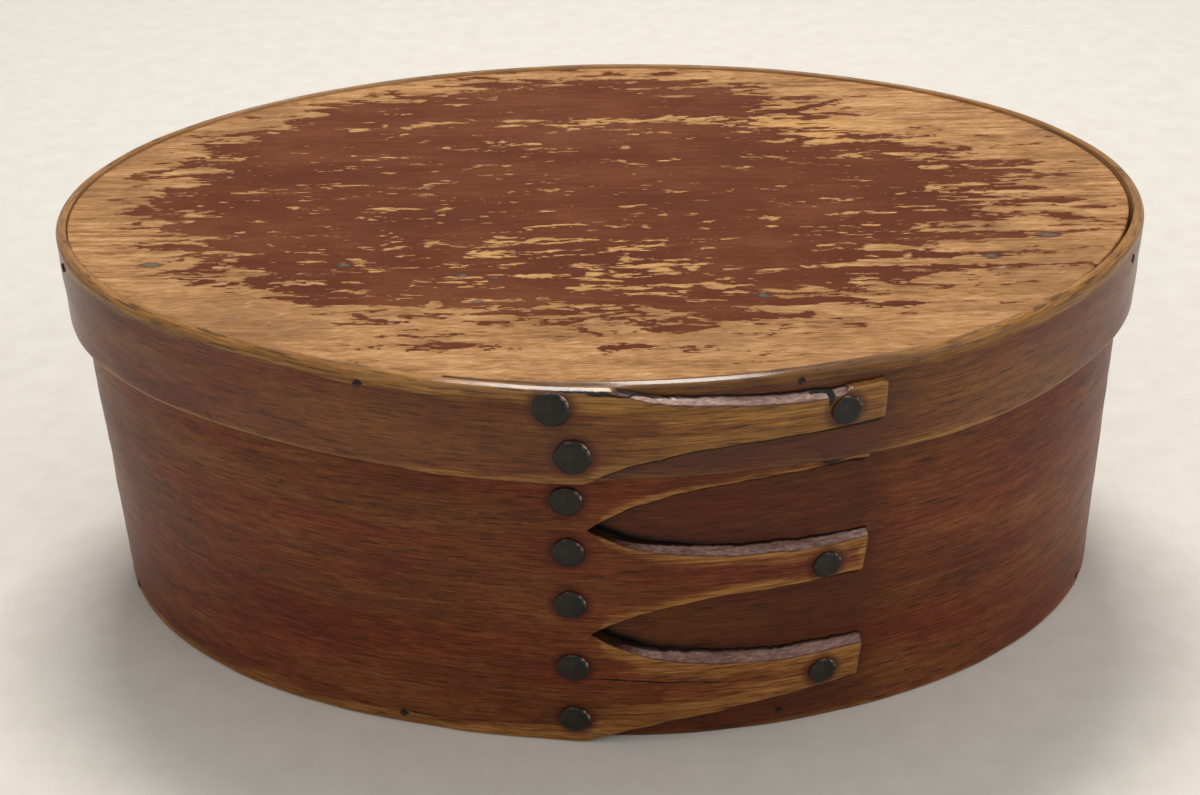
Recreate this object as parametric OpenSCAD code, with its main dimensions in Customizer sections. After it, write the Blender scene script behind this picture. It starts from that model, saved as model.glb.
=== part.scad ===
// Oval pantry box of bent maple bands, pine boards, clinched copper tacks and square sprigs.
// Millimetres, +Z up. The origin lies on the surface that the box stands on, under the middle of its oval.
// The laps and their fingers face -Y, and the fingers point towards +X.

/* [Base] */
// Length of the base over its band
base_len = 176.4; // [140:0.2:230]
// Width of the base over its band, clear of the lap
base_w = 117.8; // [94:0.2:150]
// Height of the base band
base_h = 63; // [52:0.5:80]
// Thickness of the base band
base_t = 1.7; // [1.4:0.05:2.1]
// Thickness of the bottom board
bottom_t = 4.2; // [3.4:0.1:5.2]

/* [Lid] */
// Height of the lid band
lid_h = 15.6; // [13:0.1:20]
// Thickness of the lid band
lid_t = 1.7; // [1.4:0.05:2.1]
// Thickness of the top board
top_t = 4.9; // [4:0.1:6]
// Depth of the top board below the rim
rim_lip = 0.5; // [0.2:0.1:1]

// Rounding of the rim, worn by hands
rim_r = 1.3; // [0.8:0.1:1.35]
// Rounding of the other edges of the bands
edge_r = 0.5; // [0.3:0.05:0.7]

/* [Fits] */
// Slip clearance between the base band and the lid band
slip = 0.5; // [0.35:0.05:0.8]
// Room between the tack heads of the base's lap and the lid band
head_room = 1.4; // [1.2:0.1:2]
// Hairline between the two layers of a lap
lap_gap = 0.1; // [0.06:0.01:0.2]
// Clearance round the boards inside their bands
board_gap = 0.3; // [0.1:0.05:0.5]
// Radial clearance of tacks and sprigs in their holes
hole_gap = 0.05; // [0.02:0.01:0.1]

/* [Lap] */
// X of the column of root tacks
column_x = -3.6; // [-10:0.1:0]
// Length of the inner end past the column
feather_past = 16; // [12:0.5:20]
// Thickness that the inner end is shaved to
feather_t = 0.25; // [0.2:0.05:0.4]
// Length over which the inner end is shaved
feather_run = 32; // [26:1:40]
// Length over which the lid band eases out to clear the base's lap
swell_run = 60; // [45:1:65]
// Length over which the lid band eases back past its finger
swell_back = 40; // [30:1:42]

/* [Fingers] */
// X of the base's fingertips
base_tip_x = 41.2; // [34:0.2:48]
// X of the points of the notches between the fingers
root_x = -0.8; // [-4:0.1:2]
// Number of fingers on the base
fingers = 3; // [2:1:3]
// Height between the points of neighbouring notches
root_pitch = 19.4; // [16:0.1:21]
// Height between the middles of neighbouring fingertips
tip_pitch = 20.6; // [17:0.1:21.5]
// Height of the middle of the fingertips above the middle of the band
tip_rise = 0.4; // [-0.5:0.1:0.6]
// Height of a base fingertip
tip_w = 5.9; // [4.9:0.1:7]
// Length over which a notch opens
notch_run = 10; // [8:0.5:13]
// Length over which the outermost edges leave the edge of the band
edge_run = 24; // [19:0.5:29]
// Height of the bevel along a finger
bevel = 1.3; // [0.8:0.1:1.6]
// X of the lid's fingertip
lid_tip_x = 40.2; // [33:0.2:47]
// X where the upper edge of the lid's finger leaves the rim
lid_edge_x = 2.4; // [-1:0.1:4]
// Height of the middle of the lid's fingertip above the lid's lower edge
lid_tip_z = 9.2; // [8:0.1:10.5]
// Height of the lid's fingertip
lid_tip_w = 4.8; // [4:0.1:6.5]

/* [Tacks and sprigs] */
// Diameter of the heads in the base's column
head_d = 5; // [4.2:0.1:5.6]
// Diameter of the heads at the base's fingertips
tip_head_d = 4.6; // [3.9:0.1:5]
// Diameter of the heads on the lid
lid_head_d = 5.5; // [4.6:0.1:5.8]
// Height of a head
head_h = 0.7; // [0.5:0.05:0.9]
// Diameter of a tack's shank
shank_d = 1.3; // [1.1:0.05:1.5]
// Length of the tail that is turned over inside
tail = 2.4; // [2:0.1:2.9]
// Distance of a tip tack from the end of its finger
tip_tack_in = 6.4; // [5:0.1:8]
// Distance of a base tip tack below the middle of its finger
tip_tack_low = 0.4; // [0:0.1:0.6]
// Distance of the lid's tip tack from the end of its finger
lid_tack_in = 5.7; // [4.5:0.1:7]
// Distance of the lid's tip tack above the middle of its finger
lid_tack_high = 0.2; // [0:0.1:0.3]
// Width of a square sprig at the band
sprig_w = 1.5; // [1.2:0.1:1.8]
// Length of a sprig
sprig_len = 9; // [7.5:0.5:11]

/* [Hidden] */
// Stray of each hand driven root tack from the even spacing, from the bottom up
base_stray = [-0.5, -0.9, 0.9, 0.9, -0.2, 0.2];
// Places of the lid's root tacks: step in X from the column, and share of the lid's height
lid_roots = [[1.6, 0.32], [-1, 0.82]];
// Angles of the sprigs round the oval, from the middle of the front, and how far each strays from mid board
sprig_at = [-71, -21, 19, 71, 110, 160, -160, -110];
lid_stray = [0.2, 0.8, 1.6, -0.9, 0.3, -0.4, 0.5, -0.2];
base_stray_low = [-0.4, 0.1, 0.6, -0.4, 0.2, 0, -0.3, 0.3];

half_l = base_len / 2;
half_w = base_w / 2;
feather_x = column_x - feather_past;
lid_z = base_h + top_t + rim_lip - lid_h;
swell = base_t + lap_gap + head_h + head_room - slip;
edge_x = root_x - 2.2;
turn_steps = 206;
round_steps = 3;
shaved_tip = 0.35;
shave_run = 12;
swell_past = 6;
lift_run = 8;
bare_run = 5;
open_r = 0.1;
seat = 0.02;
past = 1;
head_edge = 0.3;
nail_bite = 5;

BASE_ROOTS = [for (k = [1:2 * fingers]) str("base_root_tack_", k)];
BASE_TIPS = [for (k = [1:fingers]) str("base_tip_tack_", k)];
LID_ROOTS = ["lid_root_tack_1", "lid_root_tack_2"];
BASE_SPRIGS = [for (k = [1:len(sprig_at)]) str("base_sprig_", k)];
LID_SPRIGS = [for (k = [1:len(sprig_at)]) str("lid_sprig_", k)];

// The oval: f is the angle from the middle of the front towards +X, and d the distance outside the base band.
function oval(f, d) =
    let (out = [half_w * sin(f), -half_l * cos(f)])
    [half_l * sin(f), -half_w * cos(f)] + d * out / norm(out);
function x_at(f) = half_l * sin(f);
function f_at(x) = asin(x / half_l);
function ease(t) =
    let (c = min(1, max(0, t)))
    c * c * (3 - 2 * c);

// Outer face of a single layer of each band. The lid swells at the front to clear the base's lap.
base_face = function (f) 0;
lid_face = function (f)
    slip + lid_t + (cos(f) > 0 ? swell_at(x_at(f)) : 0);
function swell_at(x) =
    let (top_end = lid_tip_x + swell_past, back_end = min(top_end + swell_back, half_l - past))
    swell * ease((x - column_x + swell_run) / swell_run) * (1 - ease((x - top_end) / (back_end - top_end)));

// Thickness of the shaved inner end, and how far the outer layer is lifted by it.
function feathered(x, t) = feather_t + (t - feather_t) * ease((x - feather_x) / feather_run);
function lift(x, t) =
    (feather_t + lap_gap) * ease((x - feather_x + lift_run + past) / lift_run)
    + (t - feather_t) * ease((x - feather_x) / feather_run);
function shaved(x, t, tip_x) = t * shaved_tip * ease((x - tip_x + shave_run) / shave_run);

// Faces of the strip as it winds from the fingertips, once round by the left, to the inner end.
function lap_out(f, t, tip_x, face) = face(f) + lift(x_at(f), t) - shaved(x_at(f), t, tip_x);
function outer(f, t, tip_x, face) =
    f > -90 ? lap_out(f, t, tip_x, face)
    : f < -270 ? face(f) - t + feathered(x_at(f), t)
    : face(f);
function inner(f, t, face) = face(f) - t + (f > -90 ? lift(x_at(f), t) : 0);

function winding(tip_x) =
    let (from = f_at(tip_x), to = f_at(feather_x) - 360)
    [for (k = [0:turn_steps]) from + (to - from) * k / turn_steps];

// Cross-section of the strip as [distance out, height]: square inside, its outer corners rounded off by hand.
function corner(d, z, r, from) =
    [for (k = [0:round_steps]) let (a = from + 90 * k / round_steps) [d + r * cos(a), z + r * sin(a)]];
function section(in, out, h, low_r, top_r) =
    let (low = min(low_r, 0.8 * (out - in)), top = min(top_r, 0.8 * (out - in)))
    concat([[in, h], [in, 0]], corner(out - low, low, low, -90), corner(out - top, h - top, top, 0));

// Share of the rounding at f: the inner layer is rounded where the outer one leaves it bare, from open_x on.
function bare(f, open_x) = f > -270 ? 1 : max(open_r, ease((x_at(f) - open_x) / bare_run));

module strip(h, t, tip_x, face, low_r, top_r, open_x) {
    rings = [for (f = winding(tip_x))
        let (share = bare(f, open_x))
        [for (p = section(inner(f, t, face), outer(f, t, tip_x, face), h, low_r * share, top_r * share))
            let (at = oval(f, p[0])) [at.x, at.y, p[1]]]];
    n = len(rings[0]);
    polyhedron(
        [for (r = rings) each r],
        concat(
            [[for (j = [n - 1:-1:0]) j]],
            [for (k = [0:turn_steps - 1], j = [0:n - 1])
                [n * k + j, n * k + (j + 1) % n, n * k + n + (j + 1) % n, n * k + n + j]],
            [[for (j = [0:n - 1]) n * turn_steps + j]]));
}

// Edges of the fingers: each leaves its notch at from_z and eases to to_z at the tip.
function edge_z(x, from_x, from_z, to_z, tip_x, run) =
    let (share = (1 - exp(-max(0, x - from_x) / run)) / (1 - exp(-(tip_x - from_x) / run)))
    from_z + (to_z - from_z) * min(1, share);

// Cuts the outer layer between the edges low(x) and high(x), down to the hairline over the inner layer.
// Each side is bevelled by its own height, 0 where the cut runs off the band.
module notch(t, tip_x, face, from_x, low, high, bevel_low, bevel_high) {
    steps = 16;
    deep = t + lap_gap / 2;
    rings = [for (k = [0:steps])
        let (
            x = from_x + (tip_x + 3 - from_x) * pow(k / steps, 1.4),
            f = f_at(x),
            top = face(f) + lift(x, t),
            lo = low(x) - 1.5 * seat, hi = high(x) + 1.5 * seat, mid = (lo + hi) / 2,
            slope_lo = (min(lo + bevel_low, mid - seat) - lo) / t,
            slope_hi = (hi - max(hi - bevel_high, mid + seat)) / t,
            at = oval(f, top - deep), out = oval(f, top + past))
        [[at.x, at.y, lo + slope_lo * deep], [at.x, at.y, hi - slope_hi * deep],
         [out.x, out.y, hi + slope_hi * past], [out.x, out.y, lo - slope_lo * past]]];
    polyhedron(
        [for (r = rings) each r],
        concat(
            [[0, 1, 2, 3]],
            [for (k = [0:steps - 1], j = [0:3])
                [4 * k + j, 4 * k + 4 + j, 4 * k + 4 + (j + 1) % 4, 4 * k + (j + 1) % 4]],
            [[for (j = [3:-1:0]) 4 * steps + j]]));
}

// Middle height of fingertip k of the base, and height of the point of the notch below finger k.
function tip_z(k) = base_h / 2 + tip_rise + (k - (fingers - 1) / 2) * tip_pitch;
function notch_z(k) = k == 0 ? 0 : k == fingers ? base_h : base_h / 2 + (k - fingers / 2) * root_pitch;

module base_notches() {
    for (k = [0:fingers]) {
        ends = k == 0 || k == fingers;
        from_x = ends ? edge_x : root_x;
        run = ends ? edge_run : notch_run;
        notch(base_t, base_tip_x, base_face, from_x,
              function (x) k == 0 ? -past
                  : edge_z(x, from_x, notch_z(k), tip_z(k - 1) + tip_w / 2, base_tip_x, run),
              function (x) k == fingers ? base_h + past
                  : edge_z(x, from_x, notch_z(k), tip_z(k) - tip_w / 2, base_tip_x, run),
              k == 0 ? 0 : bevel,
              k == fingers ? 0 : bevel);
    }
}

module lid_notches() {
    notch(lid_t, lid_tip_x, lid_face, root_x,
          function (x) -past,
          function (x) edge_z(x, root_x, 0, lid_tip_z - lid_tip_w / 2, lid_tip_x, notch_run),
          0, bevel);
    notch(lid_t, lid_tip_x, lid_face, lid_edge_x,
          function (x) edge_z(x, lid_edge_x, lid_h, lid_tip_z + lid_tip_w / 2, lid_tip_x, notch_run),
          function (x) lid_h + past,
          bevel, 0);
}

// Stands its child on a wall at angle f and height z. The child's +Z points out of the wall, its +Y along it.
module on_wall(f, z, off) {
    near = 0.6;
    a = oval(f - near, off(f - near));
    b = oval(f + near, off(f + near));
    at = (a + b) / 2;
    translate([at.x, at.y, z])
        rotate([0, 90, atan2(a.x - b.x, b.y - a.y)])
            children();
}

// Where each tack of a band stands: angle, height and head. Its grip is the wood under its head.
function base_root(k) =
    let (
        finger = floor(k / 2), foot = notch_z(finger), step = notch_z(finger + 1) - foot,
        z = foot + step * (k % 2 == 0 ? 0.25 : 0.75) + base_stray[k])
    [f_at(column_x), max(z, bottom_t + shank_d / 2 + hole_gap + 0.1), head_d];
function base_tip(k) = [f_at(base_tip_x - tip_tack_in), tip_z(k) - tip_tack_low, tip_head_d];
function lid_root(k) = [f_at(column_x + lid_roots[k].x), lid_z + lid_h * lid_roots[k].y, lid_head_d];
lid_tip = [f_at(lid_tip_x - lid_tack_in), lid_z + lid_tip_z + lid_tack_high, tip_head_d];
base_tacks = [for (k = [0:2 * fingers - 1]) base_root(k), for (k = [0:fingers - 1]) base_tip(k)];
lid_tacks = [lid_root(0), lid_root(1), lid_tip];
function grip(f, t, tip_x) = lift(x_at(f), t) - shaved(x_at(f), t, tip_x) + t;

module on_lap(place, t, tip_x, face)
    on_wall(place[0], place[1], function (f) lap_out(f, t, tip_x, face)) children();

module tack_holes(tacks, t, tip_x, face)
    for (place = tacks)
        on_lap(place, t, tip_x, face)
            translate([0, 0, -2 * t - past])
                cylinder(h = 2 * t + 2 * past, d = shank_d + 2 * hole_gap, $fn = 24);

// A hammered head, a round shank, and a tail turned over against the inside of the band.
module head(d) {
    rise = head_h - head_edge;
    ball = (d * d / 4 + rise * rise) / (2 * rise);
    intersection() {
        translate([0, 0, seat]) cylinder(h = head_h, d = d, $fn = 48);
        translate([0, 0, seat + head_h - ball]) sphere(r = ball, $fn = 64);
    }
}

module clinched_tack(place, t, tip_x, face, turn) {
    deep = grip(place[0], t, tip_x) + seat;
    bend = shank_d / 2 + 0.1;
    color([0.2, 0.18, 0.13])
        on_lap(place, t, tip_x, face) {
            head(place[2]);
            translate([0, 0, -deep]) cylinder(h = deep + 2 * seat, d = shank_d, $fn = 24);
            rotate([0, 0, turn]) {
                translate([bend, 0, -deep])
                    rotate([90, 0, 0]) rotate([0, 0, 180])
                        rotate_extrude(angle = 90, $fn = 24)
                            translate([bend, 0]) circle(d = shank_d, $fn = 24);
                translate([bend, 0, -deep - bend])
                    rotate([0, 90, 0]) cylinder(h = tail, d1 = shank_d, d2 = shank_d / 3, $fn = 24);
            }
        }
}

// The lid's upper root tack is driven like a nail into the edge of the top board.
module straight_shank(grown) {
    deep = grip(lid_root(1)[0], lid_t, lid_tip_x) + nail_bite;
    translate([0, 0, -deep]) cylinder(h = nail_bite / 2, d1 = 0.4 + grown, d2 = shank_d + grown, $fn = 24);
    translate([0, 0, -deep + nail_bite / 2])
        cylinder(h = deep - nail_bite / 2 + 2 * seat, d = shank_d + grown, $fn = 24);
}

// A square wedge, full width at the band and cut to a point on all four sides.
module sprig(grown) {
    w = sprig_w / 2 + grown;
    tip = 0.15 + grown;
    side = [[-w, 0.1 + grown], [-w, -sprig_len / 3], [-tip, -sprig_len - grown],
            [tip, -sprig_len - grown], [w, -sprig_len / 3], [w, 0.1 + grown]];
    intersection_for (turn = [0, 90])
        rotate([0, 0, turn]) rotate([90, 0, 0]) linear_extrude(2 * w, center = true) polygon(side);
}

module at_lid_sprig(k)
    on_wall(sprig_at[k], base_h + top_t / 2 + lid_stray[k], lid_face) children();
module at_base_sprig(k)
    on_wall(sprig_at[k], bottom_t / 2 + base_stray_low[k], base_face) children();

// Pieces

module base_band()
    color([0.36, 0.19, 0.12])
        difference() {
            strip(base_h, base_t, base_tip_x, base_face, edge_r, edge_r, root_x);
            base_notches();
            tack_holes(base_tacks, base_t, base_tip_x, base_face);
            for (k = [0:len(sprig_at) - 1]) at_base_sprig(k) sprig(hole_gap);
        }

module bottom_board()
    color([0.72, 0.53, 0.33])
        difference() {
            linear_extrude(bottom_t) polygon([for (f = [0:2:358]) oval(f, -base_t - board_gap)]);
            for (k = [0:len(sprig_at) - 1]) at_base_sprig(k) sprig(hole_gap);
        }

module lid_band()
    color([0.46, 0.29, 0.15])
        difference() {
            translate([0, 0, lid_z])
                difference() {
                    strip(lid_h, lid_t, lid_tip_x, lid_face, edge_r, rim_r, lid_edge_x);
                    lid_notches();
                }
            tack_holes(lid_tacks, lid_t, lid_tip_x, lid_face);
            for (k = [0:len(sprig_at) - 1]) at_lid_sprig(k) sprig(hole_gap);
        }

module top_board()
    color([0.44, 0.2, 0.15])
        difference() {
            translate([0, 0, base_h])
                linear_extrude(top_t) polygon([for (f = [0:2:358]) oval(f, lid_face(f) - lid_t - board_gap)]);
            on_lap(lid_root(1), lid_t, lid_tip_x, lid_face) straight_shank(2 * hole_gap);
            for (k = [0:len(sprig_at) - 1]) at_lid_sprig(k) sprig(hole_gap);
        }

module base_root_tack(k) clinched_tack(base_root(k), base_t, base_tip_x, base_face, k % 2 == 0 ? 180 : 0);
module base_tip_tack(k) clinched_tack(base_tip(k), base_t, base_tip_x, base_face, 90);
module lid_tip_tack() clinched_tack(lid_tip, lid_t, lid_tip_x, lid_face, 90);

module lid_root_tack(k)
    if (k == 0)
        clinched_tack(lid_root(k), lid_t, lid_tip_x, lid_face, 90);
    else
        color([0.2, 0.18, 0.13])
            on_lap(lid_root(k), lid_t, lid_tip_x, lid_face) {
                head(lid_head_d);
                straight_shank(0);
            }

module base_sprig(k) color([0.15, 0.13, 0.1]) at_base_sprig(k) sprig(0);
module lid_sprig(k) color([0.15, 0.13, 0.1]) at_lid_sprig(k) sprig(0);

base_band();
bottom_board();
lid_band();
top_board();
lid_tip_tack();
for (k = [0:len(BASE_ROOTS) - 1]) base_root_tack(k);
for (k = [0:len(BASE_TIPS) - 1]) base_tip_tack(k);
for (k = [0:len(LID_ROOTS) - 1]) lid_root_tack(k);
for (k = [0:len(BASE_SPRIGS) - 1]) base_sprig(k);
for (k = [0:len(LID_SPRIGS) - 1]) lid_sprig(k);
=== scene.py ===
import bmesh
import bpy
import numpy as np
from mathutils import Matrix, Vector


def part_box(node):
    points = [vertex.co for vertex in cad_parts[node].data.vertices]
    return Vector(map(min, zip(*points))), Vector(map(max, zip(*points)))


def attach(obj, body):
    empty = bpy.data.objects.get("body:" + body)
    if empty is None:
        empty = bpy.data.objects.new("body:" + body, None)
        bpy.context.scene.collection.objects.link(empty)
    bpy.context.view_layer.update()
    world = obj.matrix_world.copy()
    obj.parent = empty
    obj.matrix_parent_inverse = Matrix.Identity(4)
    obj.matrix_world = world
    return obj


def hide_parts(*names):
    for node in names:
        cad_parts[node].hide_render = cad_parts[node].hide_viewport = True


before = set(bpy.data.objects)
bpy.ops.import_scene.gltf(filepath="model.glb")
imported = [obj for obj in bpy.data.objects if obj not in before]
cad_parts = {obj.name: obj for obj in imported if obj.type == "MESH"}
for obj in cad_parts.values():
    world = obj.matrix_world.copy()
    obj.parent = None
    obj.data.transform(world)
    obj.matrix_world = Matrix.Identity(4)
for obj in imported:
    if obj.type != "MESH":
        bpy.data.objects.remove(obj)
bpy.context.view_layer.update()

# Base band. One long thin strip of split maple, steamed and wound once round an oval mould. Its outer end
# is cut into three swallowtail fingers with bevelled edges, which lap over its own shaved inner end. It is
# stained red-brown, and the stain is worn to gold along every edge that hands and shelves have rubbed.
# Painted shade darkens the band's notches, finger sides and upper front, and its edges and bevels carry painted
# highlights as well as wear.
mm = 0.001
base_low, base_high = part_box("base_band")
half_l = base_high[0]
half_w = base_high[1]
base_h = base_high[2]
base_t = 1.7 * mm
lap_gap = 0.1 * mm
column_x = -3.6 * mm
feather_x = column_x - 16 * mm
feather_t = 0.25 * mm
feather_run = 32 * mm
lift_run = 8 * mm
bare_run = 5 * mm
base_tip_x = 41.2 * mm
root_x = -0.8 * mm
edge_x = -3 * mm
fingers = 3
root_pitch = 19.4 * mm
tip_pitch = 20.6 * mm
tip_rise = 0.4 * mm
tip_w = 5.9 * mm
notch_run = 10 * mm
edge_run = 24 * mm
bevel = 1.3 * mm
edge_r = 0.5 * mm
shaved_tip = 0.35
shave_run = 12 * mm
turn = 2 * np.pi


def ease(t):
    """Goes from 0 to 1 as t does, level at both ends: three t squared less two t cubed."""
    c = np.clip(t, 0, 1)
    return c * c * (3 - 2 * c)


def ripple(s, z, along, across, seed, waves=16):
    """Smooth unevenness, mostly between -1 and 1: a sum of cosine waves with random direction, length and
    phase, about `along` long down the grain and `across` over it."""
    rng = np.random.default_rng(seed)
    total = 0 * (s + z)
    for _ in range(waves):
        a, b, phase = rng.normal() / along, rng.normal() / across, rng.random()
        total = total + np.cos(turn * (a * s + b * z + phase))
    return total / waves ** 0.5


def oval(f, d):
    """A point of the ellipse half_l by half_w at the angle f from the front, moved d out along its normal."""
    s, c = np.sin(f), np.cos(f)
    out = np.stack([half_w * s, -half_l * c], -1)
    out = out / np.linalg.norm(out, axis=-1, keepdims=True)
    return np.stack([half_l * s, -half_w * c], -1) + np.expand_dims(d, -1) * out


def f_at(x):
    """Angle at which the front of the oval passes x."""
    return np.arcsin(x / half_l)


def edge_z(x, from_x, from_z, to_z, tip_x, run):
    """Height of a finger's edge: it leaves from_z at from_x and nears to_z at the tip, as 1 less an exponential."""
    share = (1 - np.exp(-np.maximum(0, x - from_x) / run)) / (1 - np.exp(-(tip_x - from_x) / run))
    return from_z + (to_z - from_z) * np.minimum(1, share)


def tip_z(k):
    """Middle height of fingertip k of the base."""
    return base_h / 2 + tip_rise + (k - (fingers - 1) / 2) * tip_pitch


def notch_z(k):
    """Height of the point of the notch below finger k, or of the band's own edge."""
    return 0 if k == 0 else base_h if k == fingers else base_h / 2 + (k - fingers / 2) * root_pitch


class Strip:
    """A strip of wood wound once round the oval from its fingertips, by the left, to its shaved inner end."""

    def __init__(self, h, t, tip_x, face, low_r, top_r, open_x, low_z, slant, seed):
        self.h, self.t, self.tip_x, self.face = h, t, tip_x, face
        self.low_r, self.top_r, self.open_x, self.low_z = low_r, top_r, open_x, low_z
        self.slant, self.seed = slant, seed
        self.tacks = []
        fine = np.linspace(f_at(tip_x) + 0.01, f_at(feather_x) - turn - 0.01, 4000)
        steps = np.linalg.norm(np.diff(oval(fine, face(fine)), axis=0), axis=1)
        run = np.concatenate([[0], np.cumsum(steps)])
        self.fine = fine[::-1]
        self.length = (np.interp(-f_at(root_x), -fine, run) - run)[::-1]

    def lift(self, x):
        """How far the outer layer is lifted by the shaved end beneath it."""
        gap = (feather_t + lap_gap) * ease((x - feather_x + lift_run + mm) / lift_run)
        return gap + (self.t - feather_t) * ease((x - feather_x) / feather_run)

    def outer(self, f):
        """Distance of the outer face from the oval: lifted over the lap, thinned at the tips and inner end."""
        x = half_l * np.sin(f)
        lap = self.lift(x) - self.t * shaved_tip * ease((x - self.tip_x + shave_run) / shave_run)
        end = feather_t + (self.t - feather_t) * ease((x - feather_x) / feather_run) - self.t
        return self.face(f) + np.where(f > -turn / 4, lap, np.where(f < -turn * 3 / 4, end, 0))

    def inner(self, f):
        """Distance of the inner face from the oval."""
        return self.face(f) - self.t + np.where(f > -turn / 4, self.lift(half_l * np.sin(f)), 0)

    def open(self, f, from_x):
        """0 where the strip is whole, rising to 1 within 3 mm of the point of a notch."""
        return np.where(f > -turn / 4, ease((half_l * np.sin(f) - from_x) / (3 * mm)), 0)

    def sides(self, k, f, p):
        """Heights of finger k's two long sides at the share p of the thickness: from the face edge the
        bevel widens to the foot, and where the side is the band's own edge it is rounded instead."""
        x = np.where(f > -turn / 4, half_l * np.sin(f), -half_l)
        low, high, low_foot, high_foot = self.finger_edges(k, x)
        share = np.where(f > -turn * 3 / 4, 1, np.maximum(0.1, ease((half_l * np.sin(f) - self.open_x) / bare_run)))
        worn = 0.22 * mm * np.exp(-p / 0.05)
        rough = 0.09 * mm * ripple(x, p * 2 * mm, 1.6 * mm, 1.2 * mm, self.seed + k) * 4 * p * (1 - p)
        deep = p * self.t
        z_low = low + (low_foot - low) * p + (worn + rough) * self.open(f, root_x)
        z_high = high + (high_foot - high) * p - (worn + rough) * self.open(f, root_x)
        if k == 0:
            r = self.low_r * share
            z_low = np.maximum(z_low, r - np.sqrt(np.maximum(0, r * r - np.maximum(0, r - deep) ** 2)))
        if k == self.last:
            r = self.top_r * share
            drop = r - np.sqrt(np.maximum(0, r * r - np.maximum(0, r - deep) ** 2))
            flat = self.worn_flat(half_l * np.sin(f)) * (np.cos(f) > 0)
            drop = np.maximum(drop, 0.3 * flat * (1.6 * mm - deep))
            z_high = np.minimum(z_high, self.h - drop - 0.12 * mm * ease((p - 0.85) / 0.15))
        return z_low, z_high

    def point(self, k, f, v, p):
        """Place of a point of finger k: at the angle f, the share v of its height and p of its thickness.
        Returns the place, its run along the strip, its height on the strip and its depth in the wood."""
        x = half_l * np.sin(f)
        back = self.slant * (1 - v) * ease((x - self.tip_x + 5 * mm) / (5 * mm)) * (f > -turn / 4)
        f = f - back / (half_l * np.cos(f_at(self.tip_x)))
        z_low, z_high = self.sides(k, f, p)
        z = z_low + (z_high - z_low) * v
        s = np.interp(f, self.fine, self.length)
        uneven = 0.07 * mm * (1.2 + ripple(s, z, 34 * mm, 12 * mm, self.seed))
        thick = self.outer(f) - self.inner(f)
        at = oval(f, self.outer(f) - p * thick - np.clip(uneven, 0, 0.2 * mm))
        return np.concatenate([at, np.expand_dims(z + self.low_z, -1)], -1), s, z, p * thick


def grid_faces(rows, columns, closed):
    """Four-sided faces over a grid of points numbered row by row, each row joined to itself where closed."""
    i = np.arange(rows - 1)[:, None]
    j = np.arange(columns if closed else columns - 1)[None, :]
    n = (j + 1) % columns
    quads = np.stack([i * columns + j, i * columns + n, (i + 1) * columns + n, (i + 1) * columns + j], -1)
    return quads.reshape(-1, 4)


def make_piece(name, points, faces, marks):
    """A smooth closed mesh from places and faces, its doubles merged, with values per point for its finish."""
    mesh = bpy.data.meshes.new(name)
    mesh.from_pydata(points.tolist(), [], faces)
    for mark, values in marks.items():
        kind = "FLOAT_VECTOR" if np.ndim(values) == 2 else "FLOAT"
        field = "vector" if np.ndim(values) == 2 else "value"
        mesh.attributes.new(mark, kind, "POINT").data.foreach_set(field, np.ravel(values).astype(np.float32))
    solid = bmesh.new()
    solid.from_mesh(mesh)
    bmesh.ops.remove_doubles(solid, verts=solid.verts, dist=2e-6)
    bmesh.ops.recalc_face_normals(solid, faces=solid.faces)
    solid.to_mesh(mesh)
    solid.free()
    mesh.shade_smooth()
    piece = bpy.data.objects.new(name, mesh)
    bpy.context.scene.collection.objects.link(piece)
    return piece


def wind(name, strip):
    """The whole wound strip: round each finger runs a loop of face, side, back and side, carried along the
    winding, and neighbouring fingers share their edges until the notch parts them."""
    lap = np.concatenate([np.arange(strip.tip_x, root_x, -0.65 * mm), np.linspace(root_x, feather_x - 9 * mm, 30)])
    past_tip = strip.tip_x + 14 * mm
    round_f = np.linspace(f_at(lap[-1]), f_at(past_tip) - turn, 215)[1:-1]
    under = np.linspace(past_tip, feather_x, 62)
    f = np.concatenate([f_at(lap), round_f, f_at(under) - turn])
    v_rows = np.concatenate([[0, 0.012, 0.04], np.linspace(0.09, 0.91, 17), [0.96, 0.988, 1]])
    p_rows = np.array([0, 0.02, 0.07, 0.15, 0.26, 0.40, 0.56, 0.74, 0.88, 1])
    v = np.concatenate([v_rows, np.ones(len(p_rows) - 2), v_rows[::-1], np.zeros(len(p_rows) - 2)])
    p = np.concatenate([0 * v_rows, p_rows[1:-1], 0 * v_rows + 1, p_rows[-2:0:-1]])
    side_row = np.diff(np.concatenate([p, p[:1]])) != 0
    whole = (f[:-1] <= f_at(root_x) + 1e-9) & (f[1:] <= f_at(root_x) + 1e-9)
    points, faces, grain, marks = [], [], [], {}
    count = 0
    for k in range(strip.last + 1):
        patches = [(f[:, None], v[None, :], p[None, :], True)]
        patches += [(end, v_rows[:, None], p_rows[None, :], False) for end in (f[:1, None], f[-1:, None])]
        for at_f, at_v, at_p, looped in patches:
            at_f, at_v, at_p = np.broadcast_arrays(at_f, at_v, at_p)
            at, s, z, deep = strip.point(k, at_f, at_v, at_p)
            quads = grid_faces(*at_f.shape, looped)
            if looped:
                upper = side_row & (v == 1)
                lower = side_row & ~upper
                inward = (upper & (k < strip.last)) | (lower & (k > 0))
                quads = quads[~(whole[:, None] & inward[None, :]).reshape(-1)]
            faces += (quads + count).tolist()
            count += at_f.size
            points.append(at.reshape(-1, 3))
            grain.append(np.stack([s, z, deep], -1).reshape(-1, 3))
            for mark, value in strip_marks(strip, k, at_f, at_v, at_p, at, z).items():
                marks.setdefault(mark, []).append(value.reshape(-1))
    marks = {mark: np.concatenate(values) for mark, values in marks.items()}
    return make_piece(name, np.concatenate(points), faces, {"grain": np.concatenate(grain), **marks})


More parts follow.
